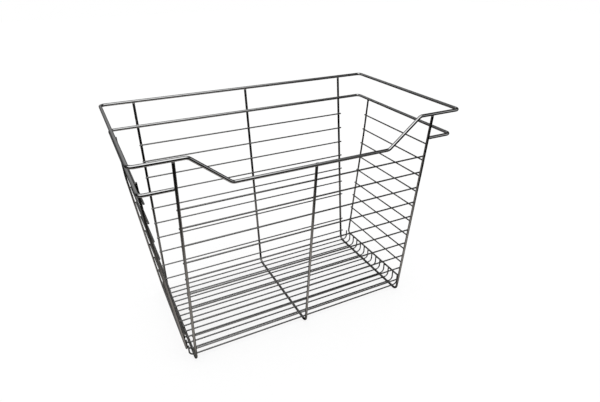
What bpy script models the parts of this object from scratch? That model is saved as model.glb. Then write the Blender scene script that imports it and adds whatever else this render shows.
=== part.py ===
"""Pull-out closet basket: a deep wire basket whose rim hangs on a pair of closet slides.

Every object is one bent or straight round wire, as it comes off the bending bench before the basket
is welded. Lengths are in metres and angles in radians. +Z is up, +X runs along the front, +Y points
to the back, and the basket stands on its three runners at z = 0 with the middle of its upper rim
over the origin.
"""
import math

import bpy
from mathutils import Vector

# Wire diameters, and the clearance kept wherever two wires are welded together
RIM_WIRE = 0.0060
FRAME_WIRE = 0.0050
SIDE_FRAME_WIRE = 0.0040
MESH_WIRE = 0.0030
WELD_GAP = 0.0003

# Upper rim, over the outside of its wire, with the bend radius of its centre line
RIM_WIDTH = 0.6000
RIM_DEPTH = 0.3420
BASKET_HEIGHT = 0.4345
RIM_BEND = 0.0090

# Scoop in the front of the upper rim, on its centre line
SCOOP_DEPTH = 0.0527
SCOOP_TOP_WIDTH = 0.4204
SCOOP_FLOOR_WIDTH = 0.2930
SCOOP_SHIFT = 0.0035  # its middle stands to the left of the basket's middle
SCOOP_BEND = 0.0120

# Lower rim, which carries the side frames
LOWER_RIM_DROP = 0.0481  # below the upper rim, centre to centre
LOWER_RIM_STEP = 0.00725  # its sides stand in from the upper rim's sides
LOWER_RIM_FRONT_INSET = 0.0014  # its front ends stand in from the middle of the uprights
LOWER_RIM_BEND = 0.0090

# U-shaped frames: two uprights and a runner bent from one wire, seen from the side of the basket
FRONT_LEAN = math.radians(5.96)
FRAME_BEND = 0.0120
RUNNER_SETBACK = 0.0134  # the outer runners stand in from the side rails

# U-shaped side frames: two side uprights and a rail bent from one wire
SIDE_LEAN = math.radians(5.79)
RAIL_HEIGHT = 0.0279
SIDE_FRAME_BEND = 0.0070
SIDE_UPRIGHT_INSET = 0.0014  # inside the outermost floor wires
SIDE_UPRIGHT_RISE = 0.0017  # above the middle of the lower rim

# The side frames are a little sprung, as in the photo: their uprights bow outward
SIDE_BOW_HEIGHT = 0.3000
SIDE_BOW_BEND = 0.3000
LEFT_SIDE_BOW = 0.0042
RIGHT_SIDE_BOW = 0.0016
LEFT_FRAME_REACH = 0.0036  # its front upright stands further forward than the right one's

# Straight mesh wires on the front, back and sides
FRONT_ROWS = 10
SIDE_ROWS = 9
FIRST_ROW_HEIGHT = 0.0290
SIDE_ROW_LIFT = 0.0041  # the side rows sit higher than the front and back rows
MESH_OVERHANG = 0.0015  # past the outer face of the end upright
FRONT_OVERHANG = 0.0002  # the front wires are cut almost flush with that face
SIDE_BACK_TRIM = 0.0027  # the side wires are this much shorter at the back

# Floor wires, which turn up at both ends and hook over the inside of the rails
FLOOR_WIRES = 14
FLOOR_MARGIN = 0.0012  # from the outermost floor wire to the bend of the runners
HOOK_BEND = 0.0100
HOOK_RISE = 0.0015  # the tips stand above the rails

# Section and bend detail
HEAVY_SIDES = 12
LIGHT_SIDES = 8
BEND_STEPS = 4

# Finish: bright plated steel, a little darker where the wire is thin
RIM_FINISH = ((0.66, 0.66, 0.67), 0.16)
FRAME_FINISH = ((0.60, 0.59, 0.58), 0.20)
MESH_FINISH = ((0.55, 0.55, 0.55), 0.24)


def circumscribed(diameter, sides):
    """Corner radius of a section whose flats lie at the wire's true radius."""
    return 0.5 * diameter / math.cos(math.pi / sides)


def welded(first, second):
    """Distance between the centre lines of two wires welded side by side."""
    return 0.5 * (first + second) + WELD_GAP


# Centre lines of the two rims
rim_x = 0.5 * (RIM_WIDTH - RIM_WIRE)
rim_y = 0.5 * (RIM_DEPTH - RIM_WIRE)
rim_z = BASKET_HEIGHT - 0.5 * RIM_WIRE
lower_rim_x = rim_x - LOWER_RIM_STEP
lower_rim_z = rim_z - LOWER_RIM_DROP
scoop_z = rim_z - SCOOP_DEPTH

# Front and back uprights lean so that the middle one laps behind the wire of the scoop
runner_z = 0.5 * FRAME_WIRE
upright_setback = welded(FRAME_WIRE, RIM_WIRE) / math.cos(FRONT_LEAN)


def upright_y(z):
    """Distance of the front and back uprights from the middle of the basket at height z."""
    return rim_y - upright_setback - (scoop_z - z) * math.tan(FRONT_LEAN)


foot_y = upright_y(runner_z)
lower_rim_front_y = upright_y(lower_rim_z) - LOWER_RIM_FRONT_INSET
lower_rim_back_y = upright_y(lower_rim_z) - upright_setback

# Side uprights lean out from the rails and lap behind the sides of the lower rim
side_setback = welded(SIDE_FRAME_WIRE, RIM_WIRE) / math.cos(SIDE_LEAN)


def side_upright_x(z, bow=0.0):
    """Distance of the side uprights from the middle of the basket at height z."""
    rising = (z - RAIL_HEIGHT) / (SIDE_BOW_HEIGHT - RAIL_HEIGHT)
    falling = (lower_rim_z - z) / (lower_rim_z - SIDE_BOW_HEIGHT)
    return lower_rim_x - side_setback - (lower_rim_z - z) * math.tan(SIDE_LEAN) + bow * min(rising, falling)


rail_x = side_upright_x(RAIL_HEIGHT)

# Floor: the wires share the straight part of the runners evenly
frame_x = rail_x - RUNNER_SETBACK
bend_run = FRAME_BEND * math.tan(0.5 * (0.5 * math.pi - FRONT_LEAN))
floor_y = foot_y - bend_run - FLOOR_MARGIN
floor_pitch = 2.0 * floor_y / (FLOOR_WIRES - 1)
floor_z = FRAME_WIRE + WELD_GAP + 0.5 * MESH_WIRE

# Side frames are centred on the straight sides of the lower rim
side_centre_y = 0.5 * (lower_rim_back_y - lower_rim_front_y)
side_half_depth = floor_y - SIDE_UPRIGHT_INSET
side_plans = (("left", -1, LEFT_SIDE_BOW, LEFT_FRAME_REACH), ("right", 1, RIGHT_SIDE_BOW, 0.0))

# Rows of mesh wire: the space from the first side row up to the lower rim is shared evenly
row_pitch = (lower_rim_z - FIRST_ROW_HEIGHT - SIDE_ROW_LIFT) / FRONT_ROWS


def finish(name, look):
    """Plated steel as a Principled material."""
    colour, roughness = look
    material = bpy.data.materials.new(name)
    material.use_nodes = True
    shader = material.node_tree.nodes["Principled BSDF"]
    shader.inputs["Base Color"].default_value = (*colour, 1.0)
    shader.inputs["Metallic"].default_value = 1.0
    shader.inputs["Roughness"].default_value = roughness
    return material


def bend(before, corner, after, radius):
    """Points of the arc that rounds one corner of a centre line."""
    arriving = (corner - before).normalized()
    leaving = (after - corner).normalized()
    turn = arriving.angle(leaving)
    run = radius * math.tan(0.5 * turn)
    start = corner - arriving * run
    inward = (leaving - arriving * arriving.dot(leaving)).normalized()
    centre = start + inward * radius
    points = []
    for step in range(BEND_STEPS + 1):
        angle = turn * step / BEND_STEPS
        points.append(centre - inward * radius * math.cos(angle) + arriving * radius * math.sin(angle))
    return points


def centre_line(corners, radii, closed=False):
    """Straight runs between corners, each corner rounded to its own radius."""
    corners = [Vector(corner) for corner in corners]
    count = len(corners)
    points = []
    for index, corner in enumerate(corners):
        if not closed and index in (0, count - 1):
            points.append(corner)
        else:
            points.extend(bend(corners[index - 1], corner, corners[(index + 1) % count], radii[index]))
    return points


def wire_shape(name, points, diameter, sides, material, closed=False):
    """A round wire swept along its centre line, with flat cut ends."""
    shape = bpy.data.curves.new(name, "CURVE")
    shape.dimensions = "3D"
    shape.twist_mode = "Z_UP"
    shape.bevel_depth = circumscribed(diameter, sides)
    shape.bevel_resolution = (sides - 4) // 2
    shape.use_fill_caps = not closed
    line = shape.splines.new("POLY")
    line.points.add(len(points) - 1)
    for place, point in zip(line.points, points):
        place.co = (*point, 1.0)
        place.tilt = math.pi / sides
    line.use_cyclic_u = closed
    shape.materials.append(material)
    return shape


def place_wire(name, shape, location=(0.0, 0.0, 0.0)):
    """One wire of the basket as its own object."""
    wire = bpy.data.objects.new(name, shape)
    wire.location = location
    bpy.context.scene.collection.objects.link(wire)
    return wire


def upper_rim(material):
    """The closed top loop, dropped in the front to make the scoop."""
    corners = [
        (rim_x, -rim_y, rim_z),
        (rim_x, rim_y, rim_z),
        (-rim_x, rim_y, rim_z),
        (-rim_x, -rim_y, rim_z),
        (-0.5 * SCOOP_TOP_WIDTH - SCOOP_SHIFT, -rim_y, rim_z),
        (-0.5 * SCOOP_FLOOR_WIDTH - SCOOP_SHIFT, -rim_y, scoop_z),
        (0.5 * SCOOP_FLOOR_WIDTH - SCOOP_SHIFT, -rim_y, scoop_z),
        (0.5 * SCOOP_TOP_WIDTH - SCOOP_SHIFT, -rim_y, rim_z),
    ]
    radii = [RIM_BEND] * 4 + [SCOOP_BEND] * 4
    points = centre_line(corners, radii, closed=True)
    shape = wire_shape("upper_rim", points, RIM_WIRE, HEAVY_SIDES, material, closed=True)
    place_wire("upper_rim", shape)


def lower_rim(material):
    """The open loop under the upper rim, whose ends butt against the outer front uprights."""
    end_x = frame_x + 0.5 * FRAME_WIRE + WELD_GAP
    corners = [
        (-end_x, -lower_rim_front_y, lower_rim_z),
        (-lower_rim_x, -lower_rim_front_y, lower_rim_z),
        (-lower_rim_x, lower_rim_back_y, lower_rim_z),
        (lower_rim_x, lower_rim_back_y, lower_rim_z),
        (lower_rim_x, -lower_rim_front_y, lower_rim_z),
        (end_x, -lower_rim_front_y, lower_rim_z),
    ]
    points = centre_line(corners, [LOWER_RIM_BEND] * len(corners))
    shape = wire_shape("lower_rim", points, RIM_WIRE, HEAVY_SIDES, material)
    place_wire("lower_rim", shape)


def upright_frame(name, x, front_top_z, back_top_z, material):
    """A front upright, a runner and a back upright bent from one wire."""
    corners = [
        (0.0, -upright_y(front_top_z), front_top_z),
        (0.0, -foot_y, runner_z),
        (0.0, foot_y, runner_z),
        (0.0, upright_y(back_top_z), back_top_z),
    ]
    points = centre_line(corners, [FRAME_BEND] * len(corners))
    shape = wire_shape(name, points, FRAME_WIRE, HEAVY_SIDES, material)
    place_wire(name, shape, (x, 0.0, 0.0))


def upright_frames(material):
    """Three frames that end under the rim; the middle one's front ends behind the scoop's wire."""
    cut_rise = circumscribed(FRAME_WIRE, HEAVY_SIDES) * math.sin(FRONT_LEAN)
    butt_z = rim_z - 0.5 * RIM_WIRE - WELD_GAP - cut_rise
    upright_frame("left_upright_frame", -frame_x, butt_z, butt_z, material)
    upright_frame("centre_upright_frame", 0.0, scoop_z, butt_z, material)
    upright_frame("right_upright_frame", frame_x, butt_z, butt_z, material)


def side_frames(material):
    """Two frames of two side uprights and a rail, lapped inside the sides of the lower rim."""
    top_z = lower_rim_z + SIDE_UPRIGHT_RISE
    back_y = side_centre_y + side_half_depth
    for side_name, side, bow, reach in side_plans:
        front_y = side_centre_y - side_half_depth - reach
        top_x = side * side_upright_x(top_z, bow)
        bow_x = side * side_upright_x(SIDE_BOW_HEIGHT, bow)
        corners = [
            (top_x, front_y, top_z),
            (bow_x, front_y, SIDE_BOW_HEIGHT),
            (side * rail_x, front_y, RAIL_HEIGHT),
            (side * rail_x, back_y, RAIL_HEIGHT),
            (bow_x, back_y, SIDE_BOW_HEIGHT),
            (top_x, back_y, top_z),
        ]
        radii = [SIDE_BOW_BEND] * 2 + [SIDE_FRAME_BEND] * 2 + [SIDE_BOW_BEND] * 2
        points = centre_line(corners, radii)
        name = f"{side_name}_side_frame"
        shape = wire_shape(name, points, SIDE_FRAME_WIRE, HEAVY_SIDES, material)
        place_wire(name, shape)


def front_and_back_wires(material):
    """Rows of straight wire welded to the inside of the front and back uprights."""
    for face, side, overhang in (("front", -1, FRONT_OVERHANG), ("back", 1, MESH_OVERHANG)):
        half_length = frame_x + 0.5 * FRAME_WIRE + overhang
        ends = [Vector((-half_length, 0.0, 0.0)), Vector((half_length, 0.0, 0.0))]
        shape = wire_shape(f"{face}_wire", ends, MESH_WIRE, LIGHT_SIDES, material)
        for row in range(FRONT_ROWS):
            z = FIRST_ROW_HEIGHT + row * row_pitch
            y = upright_y(z) - welded(FRAME_WIRE, MESH_WIRE) / math.cos(FRONT_LEAN)
            place_wire(f"{face}_wire_{row + 1:02d}", shape, (0.0, side * y, z))


def side_wires(material):
    """Rows of straight wire welded to the inside of the side uprights."""
    for side_name, side, bow, reach in side_plans:
        half_length = side_half_depth + 0.5 * (SIDE_FRAME_WIRE + reach - SIDE_BACK_TRIM) + MESH_OVERHANG
        wire_y = side_centre_y - 0.5 * (reach + SIDE_BACK_TRIM)
        ends = [Vector((0.0, -half_length, 0.0)), Vector((0.0, half_length, 0.0))]
        shape = wire_shape(f"{side_name}_wire", ends, MESH_WIRE, LIGHT_SIDES, material)
        for row in range(SIDE_ROWS):
            z = FIRST_ROW_HEIGHT + SIDE_ROW_LIFT + (row + 1) * row_pitch
            x = side_upright_x(z, bow) - welded(SIDE_FRAME_WIRE, MESH_WIRE) / math.cos(SIDE_LEAN)
            place_wire(f"{side_name}_wire_{row + 1}", shape, (side * x, wire_y, z))


def floor_wires(material):
    """Wires across the runners, turned up at both ends inside the rails."""
    tip_z = RAIL_HEIGHT + 0.5 * SIDE_FRAME_WIRE + HOOK_RISE
    hook_x = rail_x - welded(SIDE_FRAME_WIRE, MESH_WIRE)
    corners = [
        (-hook_x, 0.0, tip_z),
        (-hook_x, 0.0, floor_z),
        (hook_x, 0.0, floor_z),
        (hook_x, 0.0, tip_z),
    ]
    points = centre_line(corners, [HOOK_BEND] * len(corners))
    shape = wire_shape("floor_wire", points, MESH_WIRE, LIGHT_SIDES, material)
    for index in range(FLOOR_WIRES):
        place_wire(f"floor_wire_{index + 1:02d}", shape, (0.0, index * floor_pitch - floor_y, 0.0))


def clear_scene():
    """Start from an empty scene."""
    for existing in list(bpy.data.objects):
        bpy.data.objects.remove(existing, do_unlink=True)


def build_basket():
    """All the wires of the basket."""
    rim_steel = finish("rim_steel", RIM_FINISH)
    frame_steel = finish("frame_steel", FRAME_FINISH)
    mesh_steel = finish("mesh_steel", MESH_FINISH)
    upper_rim(rim_steel)
    lower_rim(rim_steel)
    upright_frames(frame_steel)
    side_frames(frame_steel)
    front_and_back_wires(mesh_steel)
    side_wires(mesh_steel)
    floor_wires(mesh_steel)


clear_scene()
build_basket()
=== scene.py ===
"""Looks of the pull-out closet basket: round plated wire, its welds, and a white studio table.

The CAD wires have flat sides, so every one of them is replaced here by a round wire of the same size
on the same centre line. Lengths are in metres.
"""

import math

import bmesh
import bpy
from mathutils import Matrix, Vector


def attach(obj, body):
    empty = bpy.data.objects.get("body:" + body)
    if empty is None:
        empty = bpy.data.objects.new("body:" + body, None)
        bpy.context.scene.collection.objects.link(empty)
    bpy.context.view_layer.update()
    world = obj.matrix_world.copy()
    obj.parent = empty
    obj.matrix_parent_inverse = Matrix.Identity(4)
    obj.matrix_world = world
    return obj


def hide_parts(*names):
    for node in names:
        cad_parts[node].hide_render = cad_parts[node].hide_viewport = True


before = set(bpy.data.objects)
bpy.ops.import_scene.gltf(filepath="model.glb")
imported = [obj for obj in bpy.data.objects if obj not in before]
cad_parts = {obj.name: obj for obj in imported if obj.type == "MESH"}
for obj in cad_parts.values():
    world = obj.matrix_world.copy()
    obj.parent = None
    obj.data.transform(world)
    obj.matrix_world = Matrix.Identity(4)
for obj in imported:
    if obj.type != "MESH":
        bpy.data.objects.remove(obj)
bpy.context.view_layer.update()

# Wire diameters, and the clearance that the CAD keeps between two welded wires
RIM_WIRE = 0.0060
FRAME_WIRE = 0.0050
SIDE_FRAME_WIRE = 0.0040
MESH_WIRE = 0.0030
WELD_GAP = 0.0003

# Upper rim and its scoop
RIM_WIDTH = 0.6000
RIM_DEPTH = 0.3420
BASKET_HEIGHT = 0.4345
RIM_BEND = 0.0090
SCOOP_DEPTH = 0.0527
SCOOP_TOP_WIDTH = 0.4204
SCOOP_FLOOR_WIDTH = 0.2930
SCOOP_SHIFT = 0.0035
SCOOP_BEND = 0.0120

# Lower rim
LOWER_RIM_DROP = 0.0481
LOWER_RIM_STEP = 0.00725
LOWER_RIM_FRONT_INSET = 0.0014
LOWER_RIM_BEND = 0.0090

# U-shaped frames, of which the side frames bow outward a little
FRONT_LEAN = math.radians(5.96)
FRAME_BEND = 0.0120
RUNNER_SETBACK = 0.0134
SIDE_LEAN = math.radians(5.79)
RAIL_HEIGHT = 0.0279
SIDE_FRAME_BEND = 0.0070
SIDE_UPRIGHT_INSET = 0.0014
SIDE_UPRIGHT_RISE = 0.0017
SIDE_BOW_HEIGHT = 0.3000
SIDE_BOW_BEND = 0.3000
LEFT_SIDE_BOW = 0.0042
RIGHT_SIDE_BOW = 0.0016
LEFT_FRAME_REACH = 0.0036

# Mesh and floor wires
FRONT_ROWS = 10
SIDE_ROWS = 9
FIRST_ROW_HEIGHT = 0.0290
SIDE_ROW_LIFT = 0.0041
MESH_OVERHANG = 0.0015
FRONT_OVERHANG = 0.0002
SIDE_BACK_TRIM = 0.0027
FLOOR_WIRES = 14
FLOOR_MARGIN = 0.0012
HOOK_BEND = 0.0100
HOOK_RISE = 0.0015

# Roundness: sides of each wire's section, steps in a bend, and the eased edge of a cut end, whose
# width is a share of the wire's diameter
RIM_SIDES = 28
FRAME_SIDES = 24
SIDE_FRAME_SIDES = 20
MESH_SIDES = 16
BEND_STEPS = 12
CUT_EDGE_SHARE = 0.12
CUT_EDGE_STEPS = 2
CUT_EDGE_ANGLE = math.radians(60.0)

# Weld nuggets: half thickness and half width as shares of a wire's diameter, how much they vary in
# size, and how lumpy they are
CROSSING_WELD = (0.26, 0.58)
BUTT_WELD = (0.20, 0.56)
LAP_WELD = (0.24, 0.50)
SMALLEST_NUGGET = (0.85, 0.85, 0.9)
LARGEST_NUGGET = (1.15, 1.15, 1.1)
NUGGET_SEGMENTS = 10
NUGGET_RINGS = 7
WELD_SEED = 7
WELD_UNEVENNESS = 0.00018
WELD_LUMP_SCALE = 700.0

# Plating: light tone, dark tone, roughness and strength of the draw lines. The frame and mesh wires have the
# same plating as the rims; their lower tones are painted shade
RIM_PLATING = ((0.74, 0.74, 0.74), (0.64, 0.64, 0.64), 0.04, 0.10)
FRAME_PLATING_AND_SHADE = ((0.47, 0.46, 0.45), (0.40, 0.39, 0.38), 0.12, 0.14)
MESH_PLATING_AND_SHADE = ((0.40, 0.40, 0.395), (0.33, 0.33, 0.325), 0.16, 0.16)
EDGE_TONE = (0.4, 0.4, 0.4)
TONE_STOPS = (0.3, 0.7)

# Patterns in the plating: scale, detail and roughness of the noise, and what it does
MOTTLE = (55.0, 4.0, 0.6)
DRAW_LINES = (3600.0, 2.0, 0.5)
DRAW_LINE_DRIFT = 0.03
DRAW_LINE_DEPTH = 0.00004
HAZE = (900.0, 3.0, 0.55)
HAZE_SPAN = (0.35, 0.75)
HAZE_DULLING = 1.8
SPECK_SPAN = (0.72, 0.8)
SPECK_DULLING = 0.18

# Plating over the welds
WELD_TONES = ((0.58, 0.57, 0.56), (0.34, 0.33, 0.32))
WELD_GRAIN = (1500.0, 4.0, 0.6)
WELD_ROUGHNESS = (0.22, 0.5)
WELD_PITTING = 0.35
WELD_PIT_DEPTH = 0.0002

# Camera, matched to the straight wires of the photograph
CAMERA_PLACE = (-0.34689, -0.79004, 0.68461)
CAMERA_TURN = (-0.48542, 0.00335, -0.46591)
CAMERA_REACH = (0.05, 50.0)
FOCAL_PIXELS = 464.93
PHOTO_WIDTH = 600.0
HALF_PIXEL = 0.5 / PHOTO_WIDTH

# Table: its matt part, which takes the shadow, and the glow that makes it white
TABLE_HALF_WIDTH = 6.0
TABLE_MATT = 0.22
TABLE_GLOW = 0.80

# Dim walls that only the metal sees, with two soft patches: azimuth from the back toward the right,
# elevation and width in degrees, and strength
WALL_RADIUS = 5.0
WALL_SEGMENTS = 48
WALL_DIMNESS = 0.016
WALL_PATCHES = ((0.0, 17.0, 31.0, 0.46), (128.0, 15.0, 18.0, 0.53))

# White card overhead that only the metal sees: its corners, and where its light starts and is full
CARD_LOW_CORNER = (-3.0, -2.5)
CARD_HIGH_CORNER = (1.6, 1.0)
CARD_HEIGHT = 1.95
CARD_STRENGTH = 1.25
CARD_RIGHT_FADE = (1.37, 0.13)
CARD_FRONT_FADE = (-2.37, -1.89)
CARD_BACK_FADE = (0.51, -0.31)

# Sheet of painted shade over the table that only the metal sees: the share of white table that shows through
# it by distance, where it thins out past the basket's footprint, and how it darkens to the front and to the
# far right
SHADE_SHEET_HALF_WIDTH = 5.0
SHADE_SHEET_LIFT = 0.0002
SHADE_SHEET_TONES = ((0.15, 0.58), (0.3, 0.48), (0.45, 0.30), (0.6, 0.17), (0.75, 0.10), (0.9, 0.03), (1.4, 0.02))
SHADE_SHEET_TINT = (1.0, 0.955, 0.905)
SHADE_SHEET_SIDE_EDGE = (0.22, 0.30)
SHADE_SHEET_END_EDGE = (0.11, 0.17)
SHADE_SHEET_FRONT_SHADE = 0.90
SHADE_SHEET_FRONT_EDGE = (-0.32, -0.50)
SHADE_SHEET_FAR_AIM = (0.8, 0.6, 0.0)
SHADE_SHEET_FAR_SHADE = 0.90
SHADE_SHEET_FAR_EDGE = (0.02, 0.30)

# Directions across the basket, from its front to its back, and up
ACROSS = (1.0, 0.0, 0.0)
FRONT_TO_BACK = (0.0, 1.0, 0.0)
UPWARD = (0.0, 0.0, 1.0)


def welded(first, second):
    """Distance between the centre lines of two wires welded side by side."""
    return 0.5 * (first + second) + WELD_GAP


def weld_reach(diameter):
    """Distance from a wire's centre line to the middle of the weld beside it."""
    return 0.5 * (diameter + WELD_GAP)


rim_x = 0.5 * (RIM_WIDTH - RIM_WIRE)
rim_y = 0.5 * (RIM_DEPTH - RIM_WIRE)
rim_z = BASKET_HEIGHT - 0.5 * RIM_WIRE
lower_rim_x = rim_x - LOWER_RIM_STEP
lower_rim_z = rim_z - LOWER_RIM_DROP
scoop_z = rim_z - SCOOP_DEPTH
runner_z = 0.5 * FRAME_WIRE
upright_setback = welded(FRAME_WIRE, RIM_WIRE) / math.cos(FRONT_LEAN)
side_setback = welded(SIDE_FRAME_WIRE, RIM_WIRE) / math.cos(SIDE_LEAN)


def upright_y(z):
    """Distance of the front and back uprights from the middle of the basket at height z."""
    return rim_y - upright_setback - (scoop_z - z) * math.tan(FRONT_LEAN)


def cross_wire_y(z):
    """Distance of the front and back mesh wires from the middle of the basket at height z."""
    return upright_y(z) - welded(FRAME_WIRE, MESH_WIRE) / math.cos(FRONT_LEAN)


def side_upright_x(z, bow=0.0):
    """Distance of the side uprights from the middle of the basket at height z."""
    rising = (z - RAIL_HEIGHT) / (SIDE_BOW_HEIGHT - RAIL_HEIGHT)
    falling = (lower_rim_z - z) / (lower_rim_z - SIDE_BOW_HEIGHT)
    return lower_rim_x - side_setback - (lower_rim_z - z) * math.tan(SIDE_LEAN) + bow * min(rising, falling)


def side_wire_x(z, bow):
    """Distance of the side mesh wires from the middle of the basket at height z."""
    return side_upright_x(z, bow) - welded(SIDE_FRAME_WIRE, MESH_WIRE) / math.cos(SIDE_LEAN)


foot_y = upright_y(runner_z)
lower_rim_front_y = upright_y(lower_rim_z) - LOWER_RIM_FRONT_INSET
lower_rim_back_y = upright_y(lower_rim_z) - upright_setback
butt_z = rim_z - 0.5 * RIM_WIRE - WELD_GAP - 0.5 * FRAME_WIRE * math.sin(FRONT_LEAN)
rail_x = side_upright_x(RAIL_HEIGHT)
frame_x = rail_x - RUNNER_SETBACK
frame_places = (-frame_x, 0.0, frame_x)
floor_y = foot_y - FRAME_BEND * math.tan(0.5 * (0.5 * math.pi - FRONT_LEAN)) - FLOOR_MARGIN
floor_pitch = 2.0 * floor_y / (FLOOR_WIRES - 1)
floor_z = FRAME_WIRE + WELD_GAP + 0.5 * MESH_WIRE
hook_x = rail_x - welded(SIDE_FRAME_WIRE, MESH_WIRE)
side_centre_y = 0.5 * (lower_rim_back_y - lower_rim_front_y)
side_half_depth = floor_y - SIDE_UPRIGHT_INSET
side_front_y = side_centre_y - side_half_depth
side_back_y = side_centre_y + side_half_depth
side_plans = (("left", -1.0, LEFT_SIDE_BOW, LEFT_FRAME_REACH), ("right", 1.0, RIGHT_SIDE_BOW, 0.0))
row_pitch = (lower_rim_z - FIRST_ROW_HEIGHT - SIDE_ROW_LIFT) / FRONT_ROWS
front_rows = [FIRST_ROW_HEIGHT + row * row_pitch for row in range(FRONT_ROWS)]
side_rows = [FIRST_ROW_HEIGHT + SIDE_ROW_LIFT + (row + 1) * row_pitch for row in range(SIDE_ROWS)]
floor_rows = [index * floor_pitch - floor_y for index in range(FLOOR_WIRES)]


# Node helpers

def add_node(tree, kind, settings=None, **values):
    """A new node. A socket goes by its name, or by its number as i0 or i1, and is set or joined."""
    node = tree.nodes.new(kind)
    for key, value in (settings or {}).items():
        setattr(node, key, value)
    for key, value in values.items():
        numbered = key[0] == "i" and key[1:].isdigit()
        socket = node.inputs[int(key[1:]) if numbered else key.replace("_", " ")]
        if isinstance(value, bpy.types.NodeSocket):
            tree.links.new(value, socket)
        else:
            socket.default_value = value
    return node


def result(tree, kind, settings=None, **values):
    """First output of a new node."""
    return add_node(tree, kind, settings, **values).outputs[0]


def math_node(tree, operation, first, second=0.0):
    """Result of one sum on numbers or sockets."""
    return result(tree, "ShaderNodeMath", {"operation": operation}, i0=first, i1=second)


def vector_node(tree, operation, first, **values):
    """Vector Math node whose first vector is given."""
    return add_node(tree, "ShaderNodeVectorMath", {"operation": operation}, i0=first, **values)


def map_range(tree, value, given, wanted):
    """A value moved from one range to another, and held inside it."""
    return result(tree, "ShaderNodeMapRange", Value=value, From_Min=given[0], From_Max=given[1],
                  To_Min=wanted[0], To_Max=wanted[1])


def soft_step(tree, value, start, end):
    """Zero at the start, one at the end, eased between them."""
    return result(tree, "ShaderNodeMapRange", {"interpolation_type": "SMOOTHSTEP"}, Value=value,
                  From_Min=start, From_Max=end)


def named_value(tree, name, kind):
    """What a mesh keeps under a name, inside a geometry tree."""
    return result(tree, "GeometryNodeInputNamedAttribute", {"data_type": kind}, Name=name)


def keep_value(tree, geometry, name, kind, value):
    """A geometry that keeps a value at its points under a name."""
    return result(tree, "GeometryNodeStoreNamedAttribute", {"data_type": kind, "domain": "POINT"},
                  Geometry=geometry, Name=name, Value=value)


def geometry_tree(name, output, **inputs):
    """Geometry tree with named inputs of the given kinds and one output, and the sockets that give them."""
    tree = bpy.data.node_groups.new(name, "GeometryNodeTree")
    for key, kind in inputs.items():
        tree.interface.new_socket(key.replace("_", " "), in_out="INPUT", socket_type=f"NodeSocket{kind}")
    tree.interface.new_socket(output, in_out="OUTPUT", socket_type="NodeSocketGeometry")
    return tree, tree.nodes.new("NodeGroupInput").outputs


def show(name, mesh):
    """An object of the scene for a mesh."""
    piece = bpy.data.objects.new(name, mesh)
    bpy.context.scene.collection.objects.link(piece)
    return piece


def finished_mesh(source, name):
    """Plain mesh of an object as its modifiers leave it; the object and its own mesh are removed."""
    bpy.context.view_layer.update()
    graph = bpy.context.evaluated_depsgraph_get()
    evaluated = source.evaluated_get(graph)
    mesh = bpy.data.meshes.new_from_object(evaluated, preserve_all_data_layers=True, depsgraph=graph)
    mesh.name = name
    source.modifiers.clear()
    old = source.data
    bpy.data.objects.remove(source)
    bpy.data.meshes.remove(old)
    return mesh


def run_tree(source, tree, name, **values):
    """Plain mesh made by a geometry tree from a source object, which is then removed."""
    modifier = source.modifiers.new(tree.name, "NODES")
    modifier.node_group = tree
    wanted = {key.replace("_", " "): value for key, value in values.items()}
    for item in tree.interface.items_tree:
        if item.in_out == "INPUT" and item.name in wanted:
            modifier[item.identifier] = wanted[item.name]
    return finished_mesh(source, name)


# Wire: a path of corners, each bent to its own radius, carried by a round section

def bent_wire_tree():
    """Geometry tree that rounds a path's corners and runs a round section along it."""
    tree, given = geometry_tree("bent_wire", "Wire", Path="Geometry", Diameter="Float", Sides="Int",
                                Bend_steps="Int", Steel="Material")
    path = result(tree, "GeometryNodeMeshToCurve", Mesh=given["Path"])
    bend = named_value(tree, "bend_radius", "FLOAT")
    rounded = result(tree, "GeometryNodeFilletCurve", {"mode": "POLY"}, Curve=path,
                     Count=given["Bend steps"], Radius=bend)
    length = tree.nodes.new("GeometryNodeSplineParameter").outputs["Length"]
    line = keep_value(tree, rounded, "along", "FLOAT", length)
    radius = math_node(tree, "MULTIPLY", given["Diameter"], 0.5)
    circle = result(tree, "GeometryNodeCurvePrimitiveCircle", {"mode": "RADIUS"}, Resolution=given["Sides"],
                    Radius=radius)
    place = tree.nodes.new("GeometryNodeInputPosition").outputs[0]
    section = keep_value(tree, circle, "section", "FLOAT_VECTOR", place)
    tube = result(tree, "GeometryNodeCurveToMesh", Curve=line, Profile_Curve=section, Fill_Caps=True)
    smooth = result(tree, "GeometryNodeSetShadeSmooth", Geometry=tube)
    real = result(tree, "GeometryNodeRealizeInstances", Geometry=smooth)
    plated = result(tree, "GeometryNodeSetMaterial", Geometry=real, Material=given["Steel"])
    add_node(tree, "NodeGroupOutput", Wire=plated)
    return tree


def corner_path(corners, bends, closed):
    """The corners of a wire's centre line as a mesh of edges, with the bend radius at each corner."""
    count = len(corners)
    edges = [(index, (index + 1) % count) for index in range(count if closed else count - 1)]
    mesh = bpy.data.meshes.new("corner_path")
    mesh.from_pydata(corners, edges, [])
    mesh.attributes.new("bend_radius", "FLOAT", "POINT").data.foreach_set("value", bends)
    return show("corner_path", mesh)


def round_cut_ends(mesh, width):
    """Take the sharp edge off a wire's two cut ends."""
    wire = show("cut_wire", mesh)
    bevel = wire.modifiers.new("cut_edge", "BEVEL")
    bevel.limit_method = "ANGLE"
    bevel.angle_limit = CUT_EDGE_ANGLE
    bevel.width = width
    bevel.segments = CUT_EDGE_STEPS
    return finished_mesh(wire, "wire")


def bent_wire(corners, bends, diameter, sides, steel, closed=False):
    """Mesh of one wire."""
    path = corner_path(corners, bends, closed)
    mesh = run_tree(path, trees["wire"], "wire", Diameter=diameter, Sides=sides, Bend_steps=BEND_STEPS,
                    Steel=steel)
    return mesh if closed else round_cut_ends(mesh, CUT_EDGE_SHARE * diameter)


def straight_wire(along, half_length, steel):
    """Mesh of one straight mesh wire about the origin."""
    end = half_length * Vector(along)
    return bent_wire([-end, end], [0.0] * 2, MESH_WIRE, MESH_SIDES, steel)


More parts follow.
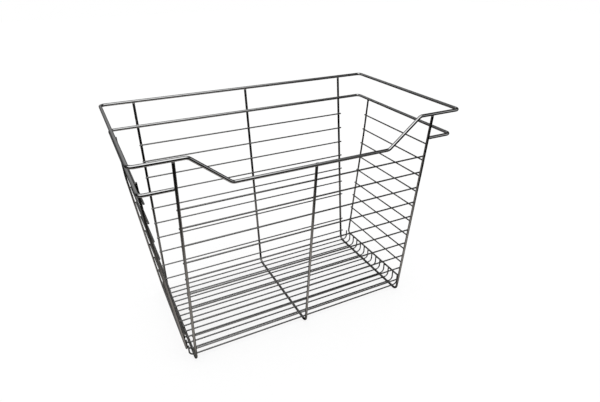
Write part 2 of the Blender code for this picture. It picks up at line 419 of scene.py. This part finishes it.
def dress(node, mesh):
    """Put a finished wire in the place of its CAD node."""
    mesh.name = f"{node}_round"
    piece = show(f"{node}_round", mesh)
    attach(piece, "root")
    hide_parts(node)


def moved(mesh, offset):
    """A copy of a wire's mesh, set down at another place."""
    copy = mesh.copy()
    copy.transform(Matrix.Translation(offset))
    return copy


# Pieces of the basket

def upper_rim(steel):
    """Closed top loop with the scoop in its front."""
    corners = [
        (rim_x, -rim_y, rim_z),
        (rim_x, rim_y, rim_z),
        (-rim_x, rim_y, rim_z),
        (-rim_x, -rim_y, rim_z),
        (-0.5 * SCOOP_TOP_WIDTH - SCOOP_SHIFT, -rim_y, rim_z),
        (-0.5 * SCOOP_FLOOR_WIDTH - SCOOP_SHIFT, -rim_y, scoop_z),
        (0.5 * SCOOP_FLOOR_WIDTH - SCOOP_SHIFT, -rim_y, scoop_z),
        (0.5 * SCOOP_TOP_WIDTH - SCOOP_SHIFT, -rim_y, rim_z),
    ]
    bends = [RIM_BEND] * 4 + [SCOOP_BEND] * 4
    dress("upper_rim", bent_wire(corners, bends, RIM_WIRE, RIM_SIDES, steel, closed=True))


def lower_rim(steel):
    """Open loop that stops at the outer front uprights."""
    end_x = frame_x + 0.5 * FRAME_WIRE + WELD_GAP
    corners = [
        (-end_x, -lower_rim_front_y, lower_rim_z),
        (-lower_rim_x, -lower_rim_front_y, lower_rim_z),
        (-lower_rim_x, lower_rim_back_y, lower_rim_z),
        (lower_rim_x, lower_rim_back_y, lower_rim_z),
        (lower_rim_x, -lower_rim_front_y, lower_rim_z),
        (end_x, -lower_rim_front_y, lower_rim_z),
    ]
    bends = [LOWER_RIM_BEND] * len(corners)
    dress("lower_rim", bent_wire(corners, bends, RIM_WIRE, RIM_SIDES, steel))


def upright_frames(steel):
    """Three U-shaped frames from front upright to back upright; the middle one ends behind the scoop."""
    for name, x, front_top_z in zip(("left", "centre", "right"), frame_places, (butt_z, scoop_z, butt_z)):
        corners = [
            (x, -upright_y(front_top_z), front_top_z),
            (x, -foot_y, runner_z),
            (x, foot_y, runner_z),
            (x, upright_y(butt_z), butt_z),
        ]
        wire = bent_wire(corners, [FRAME_BEND] * len(corners), FRAME_WIRE, FRAME_SIDES, steel)
        dress(f"{name}_upright_frame", wire)


def side_frames(steel):
    """Two U-shaped frames that carry the side wires."""
    top_z = lower_rim_z + SIDE_UPRIGHT_RISE
    bends = [SIDE_BOW_BEND] * 2 + [SIDE_FRAME_BEND] * 2 + [SIDE_BOW_BEND] * 2
    for name, side, bow, reach in side_plans:
        front_y = side_front_y - reach
        top_x = side * side_upright_x(top_z, bow)
        bow_x = side * side_upright_x(SIDE_BOW_HEIGHT, bow)
        corners = [
            (top_x, front_y, top_z),
            (bow_x, front_y, SIDE_BOW_HEIGHT),
            (side * rail_x, front_y, RAIL_HEIGHT),
            (side * rail_x, side_back_y, RAIL_HEIGHT),
            (bow_x, side_back_y, SIDE_BOW_HEIGHT),
            (top_x, side_back_y, top_z),
        ]
        wire = bent_wire(corners, bends, SIDE_FRAME_WIRE, SIDE_FRAME_SIDES, steel)
        dress(f"{name}_side_frame", wire)


def mesh_wires(steel):
    """Straight wires of the front, back and sides."""
    for face, side, overhang in (("front", -1.0, FRONT_OVERHANG), ("back", 1.0, MESH_OVERHANG)):
        wire = straight_wire(ACROSS, frame_x + 0.5 * FRAME_WIRE + overhang, steel)
        for row, z in enumerate(front_rows):
            place = (0.0, side * cross_wire_y(z), z)
            dress(f"{face}_wire_{row + 1:02d}", moved(wire, place))
    for name, side, bow, reach in side_plans:
        half_length = side_half_depth + 0.5 * (SIDE_FRAME_WIRE + reach - SIDE_BACK_TRIM) + MESH_OVERHANG
        wire_y = side_centre_y - 0.5 * (reach + SIDE_BACK_TRIM)
        wire = straight_wire(FRONT_TO_BACK, half_length, steel)
        for row, z in enumerate(side_rows):
            place = (side * side_wire_x(z, bow), wire_y, z)
            dress(f"{name}_wire_{row + 1}", moved(wire, place))


def floor_wires(steel):
    """Wires of the floor, hooked up inside the rails."""
    tip_z = RAIL_HEIGHT + 0.5 * SIDE_FRAME_WIRE + HOOK_RISE
    corners = [(-hook_x, 0.0, tip_z), (-hook_x, 0.0, floor_z), (hook_x, 0.0, floor_z), (hook_x, 0.0, tip_z)]
    wire = bent_wire(corners, [HOOK_BEND] * len(corners), MESH_WIRE, MESH_SIDES, steel)
    for index, y in enumerate(floor_rows):
        dress(f"floor_wire_{index + 1:02d}", moved(wire, (0.0, y, 0.0)))


# Welds: a small nugget of squeezed-out steel at every crossing and butt joint

def weld_tree():
    """Geometry tree that sets an uneven nugget on every weld point."""
    tree, given = geometry_tree("weld_nuggets", "Nuggets", Weld_points="Geometry", Seed="Int",
                                Unevenness="Float", Steel="Material")
    ball = result(tree, "GeometryNodeMeshUVSphere", Segments=NUGGET_SEGMENTS, Rings=NUGGET_RINGS, Radius=1.0)
    turn = named_value(tree, "turn", "FLOAT_VECTOR")
    size = named_value(tree, "size", "FLOAT_VECTOR")
    vary = result(tree, "FunctionNodeRandomValue", {"data_type": "FLOAT_VECTOR"}, Min=SMALLEST_NUGGET,
                  Max=LARGEST_NUGGET, Seed=given["Seed"])
    scale = vector_node(tree, "MULTIPLY", size, i1=vary).outputs[0]
    facing = result(tree, "FunctionNodeEulerToRotation", Euler=turn)
    placed = result(tree, "GeometryNodeInstanceOnPoints", Points=given["Weld points"], Instance=ball,
                    Rotation=facing, Scale=scale)
    real = result(tree, "GeometryNodeRealizeInstances", Geometry=placed)
    noise = add_node(tree, "ShaderNodeTexNoise", {"noise_dimensions": "4D"}, Scale=WELD_LUMP_SCALE,
                     Detail=1.0, W=given["Seed"]).outputs["Color"]
    centred = vector_node(tree, "SUBTRACT", noise, i1=(0.5, 0.5, 0.5)).outputs[0]
    push = vector_node(tree, "SCALE", centred, Scale=given["Unevenness"]).outputs[0]
    lumpy = result(tree, "GeometryNodeSetPosition", Geometry=real, Offset=push)
    smooth = result(tree, "GeometryNodeSetShadeSmooth", Geometry=lumpy)
    whole = result(tree, "GeometryNodeRealizeInstances", Geometry=smooth)
    plated = result(tree, "GeometryNodeSetMaterial", Geometry=whole, Material=given["Steel"])
    add_node(tree, "NodeGroupOutput", Nuggets=plated)
    return tree


def weld(place, normal, along, diameter, shares):
    """A weld point: its place, the turn that lays the nugget between the wires, and its half sizes."""
    thickness, width = shares
    up = Vector(normal).normalized()
    side = Vector(along).normalized()
    turn = Matrix((side, up.cross(side), up)).transposed().to_euler()
    reach = width * diameter
    return Vector(place), turn, (reach, reach, thickness * diameter)


def upright_face(side):
    """Direction in which the front (-1) or back (1) uprights lie from the wires welded to them."""
    return Vector((0.0, side * math.cos(FRONT_LEAN), -math.sin(FRONT_LEAN)))


def row_welds():
    """Welds of the straight mesh wires to the uprights and to the side uprights."""
    welds = []
    for z in front_rows:
        for x in frame_places:
            for side in (-1.0, 1.0):
                normal = upright_face(side)
                place = Vector((x, side * cross_wire_y(z), z)) + weld_reach(MESH_WIRE) * normal
                welds.append(weld(place, normal, ACROSS, MESH_WIRE, CROSSING_WELD))
    for _, side, bow, reach in side_plans:
        normal = Vector((side * math.cos(SIDE_LEAN), 0.0, -math.sin(SIDE_LEAN)))
        for z in side_rows:
            for y in (side_front_y - reach, side_back_y):
                place = Vector((side * side_wire_x(z, bow), y, z)) + weld_reach(MESH_WIRE) * normal
                welds.append(weld(place, normal, FRONT_TO_BACK, MESH_WIRE, CROSSING_WELD))
    return welds


def floor_welds():
    """Welds of the floor wires to the runners and of their hooks to the rails."""
    welds = []
    for index, y in enumerate(floor_rows):
        for x in frame_places:
            place = (x, y, FRAME_WIRE + 0.5 * WELD_GAP)
            welds.append(weld(place, UPWARD, ACROSS, MESH_WIRE, CROSSING_WELD))
        if 0 < index < FLOOR_WIRES - 1:
            for side in (-1.0, 1.0):
                place = (side * (hook_x + weld_reach(MESH_WIRE)), y, RAIL_HEIGHT)
                welds.append(weld(place, ACROSS, FRONT_TO_BACK, MESH_WIRE, CROSSING_WELD))
    return welds


def rim_welds():
    """Welds of the uprights and side uprights to the two rims."""
    welds = []
    back = upright_face(1.0)
    for x in frame_places:
        for side in (-1.0, 1.0):
            if x != 0.0 or side > 0.0:
                place = (x, side * upright_y(butt_z), rim_z - weld_reach(RIM_WIRE))
                welds.append(weld(place, UPWARD, ACROSS, FRAME_WIRE, BUTT_WELD))
        place = Vector((x, lower_rim_back_y, lower_rim_z)) + weld_reach(RIM_WIRE) * back
        welds.append(weld(place, back, ACROSS, FRAME_WIRE, LAP_WELD))
    place = (0.0, weld_reach(RIM_WIRE) - rim_y, scoop_z)
    welds.append(weld(place, FRONT_TO_BACK, ACROSS, FRAME_WIRE, LAP_WELD))
    for _, side, _, reach in side_plans:
        place = (side * (frame_x + weld_reach(FRAME_WIRE)), -lower_rim_front_y, lower_rim_z)
        welds.append(weld(place, ACROSS, FRONT_TO_BACK, FRAME_WIRE, BUTT_WELD))
        for y in (side_front_y - reach, side_back_y):
            place = (side * (lower_rim_x - weld_reach(RIM_WIRE)), y, lower_rim_z)
            welds.append(weld(place, ACROSS, FRONT_TO_BACK, SIDE_FRAME_WIRE, LAP_WELD))
    return welds


def weld_nuggets(steel):
    """All the welds as one piece."""
    welds = row_welds() + floor_welds() + rim_welds()
    points = bpy.data.meshes.new("weld_points")
    points.from_pydata([place for place, _, _ in welds], [], [])
    turns = [value for _, turn, _ in welds for value in turn]
    sizes = [value for _, _, size in welds for value in size]
    points.attributes.new("turn", "FLOAT_VECTOR", "POINT").data.foreach_set("vector", turns)
    points.attributes.new("size", "FLOAT_VECTOR", "POINT").data.foreach_set("vector", sizes)
    mesh = run_tree(show("weld_points", points), trees["weld"], "weld_nuggets", Seed=WELD_SEED,
                    Unevenness=WELD_UNEVENNESS, Steel=steel)
    piece = show("weld_nuggets", mesh)
    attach(piece, "root")


# Finishes

def bare_metal(name):
    """Metal material, with its tree, its shader and the place on the piece."""
    material = bpy.data.materials.new(name)
    material.use_nodes = True
    tree = material.node_tree
    shader = tree.nodes["Principled BSDF"]
    shader.inputs["Metallic"].default_value = 1.0
    place = tree.nodes.new("ShaderNodeTexCoord").outputs["Object"]
    return material, tree, shader, place


def noise_pattern(tree, place, pattern):
    """Uneven pattern of a given scale, detail and roughness."""
    scale, detail, roughness = pattern
    return add_node(tree, "ShaderNodeTexNoise", Vector=place, Scale=scale, Detail=detail,
                    Roughness=roughness).outputs["Fac"]


def two_tones(tree, pattern, light, dark):
    """Colour that goes from dark to light with a pattern."""
    ramp = add_node(tree, "ShaderNodeValToRGB", Fac=pattern)
    for element, stop, tone in zip(ramp.color_ramp.elements, TONE_STOPS, (dark, light)):
        element.position = stop
        element.color = (*tone, 1.0)
    return ramp.outputs["Color"]


def plated_steel(name, light, dark, roughness, line_strength):
    """Bright plated wire: faint draw lines along it, mottled plating and a few dull specks."""
    material, tree, shader, place = bare_metal(name)
    shader.inputs["Specular Tint"].default_value = (*EDGE_TONE, 1.0)
    # The two tones differ at random over the wire; the lower tones given for the frame and mesh wires are
    # painted shade
    tone = two_tones(tree, noise_pattern(tree, place, MOTTLE), light, dark)
    tree.links.new(tone, shader.inputs["Base Color"])
    around = add_node(tree, "ShaderNodeAttribute", {"attribute_name": "section"}).outputs["Vector"]
    along = add_node(tree, "ShaderNodeAttribute", {"attribute_name": "along"}).outputs["Fac"]
    drift = result(tree, "ShaderNodeCombineXYZ", Z=math_node(tree, "MULTIPLY", along, DRAW_LINE_DRIFT))
    drawn = vector_node(tree, "ADD", around, i1=drift).outputs[0]
    lines = noise_pattern(tree, drawn, DRAW_LINES)
    haze = noise_pattern(tree, place, HAZE)
    dull = map_range(tree, haze, HAZE_SPAN, (roughness, HAZE_DULLING * roughness))
    specks = map_range(tree, haze, SPECK_SPAN, (0.0, SPECK_DULLING))
    tree.links.new(math_node(tree, "ADD", dull, specks), shader.inputs["Roughness"])
    relief = add_node(tree, "ShaderNodeBump", Strength=line_strength, Distance=DRAW_LINE_DEPTH, Height=lines)
    tree.links.new(relief.outputs["Normal"], shader.inputs["Normal"])
    return material


def weld_steel(name):
    """Plating over a weld: duller, darker and pitted."""
    material, tree, shader, place = bare_metal(name)
    grain = noise_pattern(tree, place, WELD_GRAIN)
    tree.links.new(two_tones(tree, grain, *WELD_TONES), shader.inputs["Base Color"])
    tree.links.new(map_range(tree, grain, (0.0, 1.0), WELD_ROUGHNESS), shader.inputs["Roughness"])
    relief = add_node(tree, "ShaderNodeBump", Strength=WELD_PITTING, Distance=WELD_PIT_DEPTH, Height=grain)
    tree.links.new(relief.outputs["Normal"], shader.inputs["Normal"])
    return material


# Studio

def white_world():
    """Even white surroundings."""
    world = bpy.data.worlds.new("white_studio")
    world.use_nodes = True
    world.node_tree.nodes["Background"].inputs["Color"].default_value = (1.0, 1.0, 1.0, 1.0)
    world.node_tree.nodes["Background"].inputs["Strength"].default_value = 1.0
    bpy.context.scene.world = world


def flat_card(name, low, high, z):
    """Level rectangle between two corners."""
    corners = [(low[0], low[1], z), (high[0], low[1], z), (high[0], high[1], z), (low[0], high[1], z)]
    mesh = bpy.data.meshes.new(name)
    mesh.from_pydata(corners, [], [(0, 1, 2, 3)])
    return show(name, mesh)


def square_card(name, half_width, z):
    """Level square over the middle of the studio."""
    return flat_card(name, (-half_width, -half_width), (half_width, half_width), z)


def bare_material(name):
    """Node material with nothing in it yet."""
    material = bpy.data.materials.new(name)
    material.use_nodes = True
    material.node_tree.nodes.clear()
    return material


def table_top():
    """White table: its glow shows to the eye and in metal and glass, its matt part keeps the shadow."""
    table = square_card("table_top", TABLE_HALF_WIDTH, 0.0)
    material = bare_material("white_table")
    tree = material.node_tree
    matt = result(tree, "ShaderNodeBsdfDiffuse", Color=(TABLE_MATT, TABLE_MATT, TABLE_MATT, 1.0))
    paths = tree.nodes.new("ShaderNodeLightPath").outputs
    seen = math_node(tree, "MAXIMUM", paths["Is Camera Ray"], paths["Is Glossy Ray"])
    seen = math_node(tree, "MAXIMUM", seen, paths["Is Transmission Ray"])
    glow = result(tree, "ShaderNodeEmission", Strength=math_node(tree, "MULTIPLY", seen, TABLE_GLOW))
    surface = result(tree, "ShaderNodeAddShader", i0=matt, i1=glow)
    add_node(tree, "ShaderNodeOutputMaterial", Surface=surface)
    table.data.materials.append(material)


def reflection_card(card, material):
    """Studio card that shows in reflections alone, and lights nothing."""
    card.data.materials.append(material)
    card.visible_camera = False
    card.visible_diffuse = False
    card.visible_transmission = False
    card.visible_shadow = False


def wall_patch(tree, direction, azimuth, elevation, width, strength):
    """Round soft patch of light on the walls, fading with the angle from its middle."""
    turn, rise = math.radians(azimuth), math.radians(elevation)
    aim = Vector((math.sin(turn) * math.cos(rise), math.cos(turn) * math.cos(rise), math.sin(rise)))
    facing = vector_node(tree, "DOT_PRODUCT", direction, i1=aim).outputs["Value"]
    off = math_node(tree, "DIVIDE", math_node(tree, "ARCCOSINE", facing), math.radians(width))
    falloff = math_node(tree, "MULTIPLY", math_node(tree, "MULTIPLY", off, off), -1.0)
    return math_node(tree, "MULTIPLY", math_node(tree, "EXPONENT", falloff), strength)


def studio_walls():
    """Dim room round the table, with a soft bright patch behind the basket and one at the front right."""
    shell = bmesh.new()
    rows = WALL_SEGMENTS // 2
    bmesh.ops.create_uvsphere(shell, u_segments=WALL_SEGMENTS, v_segments=rows, radius=WALL_RADIUS)
    mesh = bpy.data.meshes.new("studio_walls")
    shell.to_mesh(mesh)
    shell.free()
    material = bare_material("dim_walls")
    tree = material.node_tree
    place = tree.nodes.new("ShaderNodeTexCoord").outputs["Object"]
    direction = vector_node(tree, "NORMALIZE", place).outputs[0]
    level = WALL_DIMNESS
    for patch in WALL_PATCHES:
        level = math_node(tree, "ADD", wall_patch(tree, direction, *patch), level)
    add_node(tree, "ShaderNodeOutputMaterial", Surface=result(tree, "ShaderNodeEmission", Strength=level))
    reflection_card(show("studio_walls", mesh), material)


def shaded(tree, level, value, edge, shade):
    """A level that loses a share of itself past a soft edge."""
    kept = math_node(tree, "SUBTRACT", 1.0, math_node(tree, "MULTIPLY", soft_step(tree, value, *edge), shade))
    return math_node(tree, "MULTIPLY", level, kept)


def painted_shade_sheet():
    """Painted shade on the table, seen only in reflections: black beneath the basket and far away, thin
    around its foot.
    """
    material = bare_material("painted_shade_sheet")
    tree = material.node_tree
    place = tree.nodes.new("ShaderNodeTexCoord").outputs["Object"]
    reach = SHADE_SHEET_TONES[-1][0]
    away = vector_node(tree, "LENGTH", place).outputs["Value"]
    ramp = add_node(tree, "ShaderNodeValToRGB", Fac=math_node(tree, "DIVIDE", away, reach))
    stops = ramp.color_ramp.elements
    while len(stops) < len(SHADE_SHEET_TONES):
        stops.new(0.5)
    for stop, (distance, level) in zip(stops, SHADE_SHEET_TONES):
        stop.position = distance / reach
        stop.color = (*(level * part for part in SHADE_SHEET_TINT), 1.0)
    spot = add_node(tree, "ShaderNodeSeparateXYZ", i0=place).outputs
    beside = soft_step(tree, math_node(tree, "ABSOLUTE", spot["X"]), *SHADE_SHEET_SIDE_EDGE)
    beyond = soft_step(tree, math_node(tree, "ABSOLUTE", spot["Y"]), *SHADE_SHEET_END_EDGE)
    # Painted shade: none of the table shows through beneath the basket, and less of it to the front and the
    # far right
    share = math_node(tree, "MAXIMUM", beside, beyond)
    share = shaded(tree, share, spot["Y"], SHADE_SHEET_FRONT_EDGE, SHADE_SHEET_FRONT_SHADE)
    far = vector_node(tree, "DOT_PRODUCT", place, i1=SHADE_SHEET_FAR_AIM).outputs["Value"]
    share = shaded(tree, share, far, SHADE_SHEET_FAR_EDGE, SHADE_SHEET_FAR_SHADE)
    tone = vector_node(tree, "SCALE", ramp.outputs["Color"], Scale=share).outputs[0]
    add_node(tree, "ShaderNodeOutputMaterial", Surface=result(tree, "ShaderNodeBsdfTransparent", Color=tone))
    reflection_card(square_card("painted_shade_sheet", SHADE_SHEET_HALF_WIDTH, SHADE_SHEET_LIFT), material)


def overhead_card():
    """Large white card over the front left of the basket, fading out to the right and to the back."""
    material = bare_material("lit_card")
    tree = material.node_tree
    place = tree.nodes.new("ShaderNodeTexCoord").outputs["Object"]
    spot = add_node(tree, "ShaderNodeSeparateXYZ", i0=place).outputs
    level = soft_step(tree, spot["X"], *CARD_RIGHT_FADE)
    for fade in (CARD_FRONT_FADE, CARD_BACK_FADE):
        level = math_node(tree, "MULTIPLY", level, soft_step(tree, spot["Y"], *fade))
    glow = result(tree, "ShaderNodeEmission", Strength=math_node(tree, "MULTIPLY", level, CARD_STRENGTH))
    add_node(tree, "ShaderNodeOutputMaterial", Surface=glow)
    reflection_card(flat_card("overhead_card", CARD_LOW_CORNER, CARD_HIGH_CORNER, CARD_HEIGHT), material)


def camera():
    """The photograph's view."""
    data = bpy.data.cameras.new("photo_camera")
    data.sensor_fit = "HORIZONTAL"
    data.lens = FOCAL_PIXELS * data.sensor_width / PHOTO_WIDTH
    data.shift_x = -HALF_PIXEL
    data.shift_y = HALF_PIXEL
    data.clip_start, data.clip_end = CAMERA_REACH
    eye = bpy.data.objects.new("photo_camera", data)
    tilt, roll, turn = CAMERA_TURN
    level = Matrix.Rotation(turn, 4, "Z") @ Matrix.Rotation(tilt, 4, "X") @ Matrix.Rotation(roll, 4, "Y")
    eye.matrix_world = Matrix.Translation(CAMERA_PLACE) @ level @ Matrix.Rotation(0.5 * math.pi, 4, "X")
    bpy.context.scene.collection.objects.link(eye)
    bpy.context.scene.camera = eye


trees = {"wire": bent_wire_tree(), "weld": weld_tree()}
rim_steel = plated_steel("rim_steel", *RIM_PLATING)
# The frame and mesh wires' darker tones are painted shade on the rims' plating
frame_steel = plated_steel("frame_steel", *FRAME_PLATING_AND_SHADE)
mesh_steel = plated_steel("mesh_steel", *MESH_PLATING_AND_SHADE)
upper_rim(rim_steel)
lower_rim(rim_steel)
upright_frames(frame_steel)
side_frames(frame_steel)
mesh_wires(mesh_steel)
floor_wires(mesh_steel)
weld_nuggets(weld_steel("weld_steel"))
white_world()
table_top()
studio_walls()
painted_shade_sheet()
overhead_card()
camera()
bpy.context.scene.view_settings.view_transform = "Standard"
